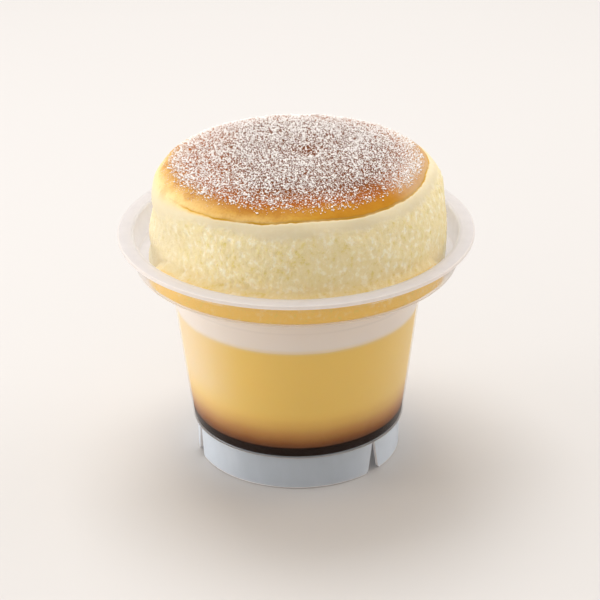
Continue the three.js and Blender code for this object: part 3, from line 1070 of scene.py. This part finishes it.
def souffle_shape(cake):
    """Places of the cake's vertices, and what the finish reads at each, by level and step."""
    outline = CakeOutline(cake)
    azimuths = numpy.arange(CAKE_STEPS) * math.tau / CAKE_STEPS
    right, front = numpy.sin(azimuths), numpy.cos(azimuths)
    cracks = outline.at_height(crack_heights(cake, azimuths))
    stations = cake_stations(cake, outline, cracks)
    radius, height, run, climb = outline.at(stations)
    from_crack = stations - cracks
    spread = spread_share(cake, azimuths, height)
    steady = smooth_step(height, cake.base, cake.base + cake.uneven_rise) * (1 - spread)
    skin_width = skin_widths(cake, right, azimuths)
    open_crumb = smooth_step(-from_crack, skin_width - 1.1 * MM, skin_width + 1.8 * MM)
    open_crumb *= 1 - smooth_step(spread, 0.5, 1.0)

    groove, outward = crack_relief(cake, azimuths, from_crack)
    outward += climb * steady * side_unevenness(cake, azimuths, height)
    pits, relief = surface_relief(cake, radius * right, -radius * front, height, open_crumb, from_crack)
    outward += relief

    radius = numpy.maximum(radius + outward * climb, 0)
    widest = 1 + (cake.spread_radius / cake.base_radius - 1) * smooth_step(front, *WIDEST_COSINES)
    radius *= 1 + spread * (widest - 1)
    height = height - outward * run
    x = radius * right + cake.lean * steady
    y = -radius * front
    dimple = numpy.hypot(x - cake.dimple_x, y - cake.dimple_y) / cake.dimple_radius
    height = height - cake.dimple * (1 - climb) * numpy.exp(-(dimple**2)) * (stations > cracks)
    height[-1, :] = height[-1, 0]
    x[-1, :] = cake.lean
    y[-1, :] = 0
    facts = crust_facts(from_crack, right)
    facts |= {"skin": (from_crack + skin_width) / MM, "crack": groove, "pit": pits, "spread": spread}
    return numpy.stack([x, y, height], axis=-1), facts


def souffle_mesh(cake):
    """A ruled tube, one ring for each level, moved ring by ring onto the cake's shape."""
    places, facts = souffle_shape(cake)
    rung = 1 * MM
    bm = swept([(10 * MM, 0, rung * level) for level in range(len(places))], CAKE_STEPS)
    stores = {name: bm.verts.layers.float.new(name) for name in facts}
    for vert in bm.verts:
        level = round(vert.co.z / rung)
        step = round(math.atan2(vert.co.x, -vert.co.y) / math.tau * CAKE_STEPS) % CAKE_STEPS
        vert.co = places[level, step]
        for name, store in stores.items():
            vert[store] = facts[name][level, step]
    return closed(bm)


def crumb_paint(finish, cake, place, fleck, speck):
    """Pale crumb, yellower in its pits and near the base, and deepest where it is wet against the wall; near
    the base partly painted shade, with painted light in the shaded trough at the sides and painted shade on
    the lit left side.
    """
    cloud = finish.grain(place.where, 7 * MM, 2)
    front = place.front.rise(0, 0.8)
    # Tan near the base, most at the front: partly browning of the base, partly painted shade.
    low = place.height.rise(cake.base + 11 * MM, cake.base + 2 * MM) * (0.1 + 0.9 * front)
    # Painted light: pales the base at the sides, where it lies in shade in the trough between cake and wall.
    trough = place.height.rise(cake.base + 9 * MM, cake.base + 3 * MM) * (1 - front)
    yellow = 0.3 * finish.attribute("pit") + 0.7 * fleck.rise(0.5, 0.7) * (0.4 + speck)
    wet = (finish.attribute("spread") + 0.7 * (fleck - 0.5)).rise(0.4, 0.95)
    wet = wet * place.front.rise(0.1, 0.45)
    return finish.coats(
        cake.crumb,
        (yellow.rise(0.0, 1.1), cake.crumb_pit),
        (0.7 * fleck.rise(0.5, 0.34), cake.crumb_thread_and_trough_light),
        (0.2 * cloud.rise(0.45, 0.75), cake.crumb_pit),
        (0.6 * low, cake.crumb_base),
        (0.7 * trough, cake.crumb_thread_and_trough_light),
        # Painted shade: the lit left side is mixed towards the darker skin colour.
        (0.6 * place.left.rise(0.6, 0.95), cake.skin),
        (wet * (1 - 0.5 * fleck.rise(0.5, 0.3)), cake.crumb_wet),
        (0.5 * wet * fleck.rise(0.55, 0.7), cake.crumb_pit),
    )


def crust_paint(finish, cake, where, pore, reach):
    """Browned crust, pale at its left edge, deeper right of the front and dusty on the right."""
    mottle = finish.grain(where, 4.5 * MM, 4, 0.55)
    spots = finish.grain(where, 1.3 * MM, 3, 0.6)
    browning = (reach + 4.0 * (mottle - 0.5) + 3.4 * (spots - 0.5) + 2.6 * (pore - 0.5)) / 14
    browned = finish.ramp(browning, [
        (0.0, tint(204, 161, 66)),
        (0.1, cake.crust_edge),
        (0.22, tint(182, 128, 52)),
        (0.45, cake.crust),
        (0.8, tint(135, 80, 38)),
        (1.0, tint(116, 70, 42)),
    ])
    patchy = 0.95 - 0.45 * mottle.rise(0.45, 0.7) - 0.3 * pore.rise(0.5, 0.75)
    return finish.coats(
        browned,
        (0.5 * mottle.rise(0.55, 0.75) * reach.rise(4, 10), cake.crust_dark),
        (patchy * finish.attribute("pale"), cake.crust_pale),
        (0.7 * finish.attribute("deep"), cake.crust_deep),
        (0.75 * finish.attribute("dusty"), cake.crust_dusty),
    )


def souffle_finish(cake):
    """Porous pale crumb, a smooth skin under the crack and a browned crust on top."""
    finish = Finish("souffle_sponge")
    place = Place(finish)
    where = place.where
    reach = finish.attribute("reach")
    fleck = finish.grain(finish.stretched(where, (1, 1, UPRIGHT)), PIT_SIZE, 4, 0.62)
    speck = finish.grain(where, 0.35 * MM, 2)
    pore = finish.grain(where, 0.5 * MM, 2)
    ragged = finish.grain(where, 1.8 * MM, 3)
    skin = finish.attribute("skin") + 2.4 * (ragged - 0.5)
    on_crust = reach.rise(-0.2, 0.6)
    bubbles = (fleck + 0.7 * speck) * (1 - 0.8 * skin.rise(-0.8, 0.8)) * (1 - on_crust)
    bubbles = bubbles + 0.2 * pore * on_crust
    paint = finish.coats(
        crumb_paint(finish, cake, place, fleck, speck),
        (0.87 * skin.rise(-1.4, 0.9), cake.skin),
        (finish.attribute("edge").rise(-0.35, 0.5), crust_paint(finish, cake, where, pore, reach)),
        (0.9 * finish.attribute("crack").rise(0.15, 0.9), cake.crack),
    )
    return finish.done(finish.principled({
        "Base Color": paint,
        "Roughness": 0.85 - 0.3 * on_crust + 0.1 * speck,
        "Specular IOR Level": 0.03,
        "Subsurface Weight": 0.2,
        "Subsurface Radius": (1.0, 0.75, 0.4),
        "Subsurface Scale": 0.8 * MM,
        "Normal": finish.bump(bubbles, 0.26 * MM, 0.8),
    }))


class PUDDING_OT_souffle(bpy.types.Operator):
    """Model the risen souffle cake with its crumb, skin, crack and crust"""

    bl_idname = "pudding.souffle"
    bl_label = "Souffle"

    def execute(self, context):
        cake = context.scene.pudding_souffle
        piece = new_piece(context, "souffle_cake", souffle_mesh(cake), souffle_finish(cake), 180)
        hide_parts("souffle")
        return {"FINISHED"}


def sugar_finish(sugar):
    """White sugar, some grains a little greyer than others."""
    finish = Finish("powdered_sugar")
    fine = finish.grain(finish.where(), 0.2 * MM, 1)
    greyness = 0.2 * finish.attribute("shade") + 0.1 * fine
    return finish.done(finish.principled({
        "Base Color": finish.mix(greyness, sugar.white, tint(228, 224, 224)),
        "Roughness": 0.55 + 0.2 * fine,
        "Subsurface Weight": 0.15,
        "Subsurface Radius": (1.0, 1.0, 1.0),
        "Subsurface Scale": 0.3 * MM,
    }))


def scattered(name, template, copies):
    """One mesh of many copies of a small template, each with a place, a turn, a size and a shade."""
    places, turns, sizes, shades = [numpy.array(column) for column in zip(*copies)]
    corners = numpy.array([vert.co[:] for vert in template.verts])
    faces = numpy.array([[vert.index for vert in face.verts] for face in template.faces])
    moved = numpy.einsum("nij,kj->nki", turns, corners) * sizes[:, None, None]
    moved += places[:, None, :]
    count = len(places)
    indices = faces[None, :, :] + (numpy.arange(count) * len(corners))[:, None, None]
    mesh = bpy.data.meshes.new(name)
    mesh.vertices.add(count * len(corners))
    mesh.vertices.foreach_set("co", moved.astype(numpy.float32).ravel())
    mesh.loops.add(indices.size)
    mesh.loops.foreach_set("vertex_index", indices.astype(numpy.int32).ravel())
    mesh.polygons.add(count * len(faces))
    mesh.polygons.foreach_set(
        "loop_start", numpy.arange(0, indices.size, faces.shape[1], dtype=numpy.int32)
    )
    mesh.update(calc_edges=True)
    store = mesh.attributes.new("shade", "FLOAT", "POINT")
    store.data.foreach_set("value", numpy.repeat(shades, len(corners)).astype(numpy.float32))
    mesh.validate()
    return mesh


def grain_template(subdivisions, seed):
    """A small uneven ball for one sugar grain."""
    bm = bmesh.new()
    if subdivisions:
        bmesh.ops.create_icosphere(bm, subdivisions=subdivisions, radius=0.5)
    else:
        bmesh.ops.create_cone(
            bm, cap_ends=False, segments=4, radius1=0.5, radius2=0, depth=0.45,
            matrix=Matrix.Translation((0, 0, 0.225)),
        )
        bmesh.ops.mirror(
            bm, geom=[*bm.verts, *bm.edges, *bm.faces], merge_dist=1e-5, axis="Z"
        )
        bmesh.ops.recalc_face_normals(bm, faces=bm.faces)
    draw = random.Random(seed)
    for vert in bm.verts:
        vert.co *= draw.uniform(0.8, 1.2)
    bm.verts.index_update()
    return bm


class TakenPlaces:
    """Places already taken on the crust, kept at least one spacing apart."""

    def __init__(self, spacing):
        self.spacing = spacing
        self.cells = {}

    def claim(self, x, y):
        """Takes a place and says True, unless another lies too near."""
        column, row = int(x // self.spacing), int(y // self.spacing)
        for i in (column - 1, column, column + 1):
            for j in (row - 1, row, row + 1):
                for other_x, other_y in self.cells.get((i, j), ()):
                    if math.hypot(other_x - x, other_y - y) < self.spacing:
                        return False
        self.cells.setdefault((column, row), []).append((x, y))
        return True


# Half width of the square over the cake where grains are tried, in millimetres
SUGAR_FIELD = 36
GRAIN_LIFT = 0.2
GRAIN_FLATTENING = (1, 1, 0.7)
GRAIN_STRETCH = (1.25, 0.9, 0.9)


def sugar_copies(cake, sugar, tree, name, count, size, cover_at):
    """Place, turn, width and shade of each grain that lands on a covered place of the crust."""
    draw = random.Random(f"{name} {sugar.seed}")
    taken = TakenPlaces(sugar.spacing * size)
    copies = []
    for _ in range(count):
        x = draw.uniform(-SUGAR_FIELD, SUGAR_FIELD) * MM
        y = draw.uniform(-SUGAR_FIELD, SUGAR_FIELD) * MM
        keep = draw.random()
        width = size * draw.uniform(0.6, 1.4)
        spin = [draw.uniform(0, math.tau) for _ in range(2)]
        shade = draw.random()
        if keep > cover_at(cake, x, y) or not taken.claim(x, y):
            continue
        hit = tree.ray_cast(Vector((x, y, 1)), Vector((0, 0, -1)))[0]
        if hit is None:
            continue
        turn = Matrix.Rotation(spin[0], 3, "X") @ Matrix.Rotation(spin[1], 3, "Y")
        turn = Matrix.Diagonal(GRAIN_FLATTENING) @ turn @ Matrix.Diagonal(GRAIN_STRETCH)
        copies.append((hit + Vector((0, 0, GRAIN_LIFT * width)), turn, width, shade))
    return copies


class PUDDING_OT_sugar(bpy.types.Operator):
    """Dust powdered sugar on the crust as clumps, grains and fine dust"""

    bl_idname = "pudding.sugar"
    bl_label = "Powdered sugar"

    def execute(self, context):
        cake = context.scene.pudding_souffle
        sugar = context.scene.pudding_sugar
        cake_piece = bpy.data.objects["souffle_cake"]
        tree = BVHTree.FromObject(cake_piece, context.evaluated_depsgraph_get())
        material = sugar_finish(sugar)
        kinds = (
            ("sugar_clumps", sugar.clumps, sugar.clump_size, 1, sugar_cover),
            ("sugar_grains", sugar.grains, sugar.grain_size, 0, sugar_cover),
            ("sugar_dust", sugar.dust, sugar.dust_size, 0, dust_cover),
        )
        for name, count, size, subdivisions, cover_at in kinds:
            copies = sugar_copies(cake, sugar, tree, name, count, size, cover_at)
            template = grain_template(subdivisions, sugar.seed)
            piece = link_mesh(context, name, scattered(name, template, copies), material)
            template.free()
        return {"FINISHED"}


def floor_finish(stage):
    finish = Finish("pale_floor")
    drift = finish.grain(finish.where(), 0.25, 3)
    paint = finish.mix(0.06 * drift, stage.floor, tint(250, 248, 246))
    return finish.done(finish.principled({"Base Color": paint, "Roughness": 0.6}))


FLOOR_HALF_WIDTH = 2
FLOOR_DROP = 0.2 * MM
LIGHT_TARGET = Vector((0, 0, 0.05))
# Each light's name, place, width and colour
LIGHTS = (
    ("key", (-0.8, 0.1, 0.28), 0.6, (1, 0.99, 0.99)),
    ("fill", (0.7, 0.25, 0.34), 0.5, (1, 0.985, 0.98)),
    ("low", (-0.55, -0.05, 0.07), 0.2, (1, 1, 1)),
    ("back", (-0.1, 0.3, 0.78), 0.5, (1, 0.99, 0.98)),
)


def area_light(context, name, place, width, watts, paint):
    lamp = bpy.data.lights.new(name, "AREA")
    lamp.shape = "SQUARE"
    lamp.size = width
    lamp.energy = watts
    lamp.color = paint
    light = bpy.data.objects.new(name, lamp)
    light.location = place
    light.visible_camera = False
    light.rotation_euler = (LIGHT_TARGET - Vector(place)).to_track_quat("-Z", "Y").to_euler()
    context.scene.collection.objects.link(light)


def even_light(context, stage):
    world = bpy.data.worlds.new("even_light")
    world.use_nodes = True
    background = world.node_tree.nodes["Background"]
    background.inputs["Color"].default_value = (*stage.sky, 1)
    background.inputs["Strength"].default_value = stage.sky_strength
    context.scene.world = world


def aimed_camera(context, stage):
    lens = bpy.data.cameras.new("camera")
    lens.sensor_width = 36
    lens.lens = stage.camera_lens
    lens.clip_start = 0.01
    camera = bpy.data.objects.new("camera", lens)
    turn = Matrix.Rotation(stage.camera_yaw, 4, "Z")
    turn = turn @ Matrix.Rotation(math.pi / 2 - stage.camera_pitch, 4, "X")
    turn = turn @ Matrix.Rotation(stage.camera_roll, 4, "Z")
    camera.matrix_world = Matrix.Translation((0, -stage.camera_back, stage.camera_height)) @ turn
    context.scene.collection.objects.link(camera)
    context.scene.camera = camera


class PUDDING_OT_stage(bpy.types.Operator):
    """Set up the floor, the lights and the camera"""

    bl_idname = "pudding.stage"
    bl_label = "Stage"

    def execute(self, context):
        stage = context.scene.pudding_stage
        bm = bmesh.new()
        bmesh.ops.create_grid(bm, x_segments=2, y_segments=2, size=FLOOR_HALF_WIDTH)
        bmesh.ops.translate(bm, verts=bm.verts, vec=(0, 0, -FLOOR_DROP))
        mesh = bpy.data.meshes.new("floor")
        bm.to_mesh(mesh)
        bm.free()
        mesh.materials.append(floor_finish(stage))
        floor = bpy.data.objects.new("floor", mesh)
        context.scene.collection.objects.link(floor)

        for name, place, width, paint in LIGHTS:
            area_light(context, name, place, width, getattr(stage, f"{name}_power"), paint)
        even_light(context, stage)
        aimed_camera(context, stage)
        context.scene.view_settings.view_transform = "Standard"
        return {"FINISHED"}


class PUDDING_PT_sidebar(bpy.types.Panel):
    """Lists the pudding's sizes, colours and makers"""

    bl_idname = "PUDDING_PT_sidebar"
    bl_label = "Souffle Pudding"
    bl_space_type = "VIEW_3D"
    bl_region_type = "UI"
    bl_category = "Pudding"

    def draw(self, context):
        layout = self.layout
        for maker, group in zip(MAKERS, GROUPS):
            box = layout.box()
            box.operator(maker.bl_idname)
            settings = getattr(context.scene, group)
            for name in GROUPS[group].__annotations__:
                box.prop(settings, name)


MAKERS = (
    PUDDING_OT_cup,
    PUDDING_OT_layers,
    PUDDING_OT_souffle,
    PUDDING_OT_sugar,
    PUDDING_OT_stage,
)
GROUPS = {
    "pudding_cup": PuddingCup,
    "pudding_layers": PuddingLayers,
    "pudding_souffle": PuddingSouffle,
    "pudding_sugar": PuddingSugar,
    "pudding_stage": PuddingStage,
}


def register():
    for group in GROUPS.values():
        bpy.utils.register_class(group)
    for maker in (*MAKERS, PUDDING_PT_sidebar):
        bpy.utils.register_class(maker)
    for name, group in GROUPS.items():
        setattr(bpy.types.Scene, name, PointerProperty(type=group))


def unregister():
    for name in GROUPS:
        delattr(bpy.types.Scene, name)
    for item in (PUDDING_PT_sidebar, *MAKERS, *GROUPS.values()):
        bpy.utils.unregister_class(item)


def main():
    register()
    bpy.ops.pudding.stage()
    bpy.ops.pudding.cup()
    bpy.ops.pudding.layers()
    bpy.ops.pudding.souffle()
    bpy.ops.pudding.sugar()


if __name__ == "__main__":
    main()
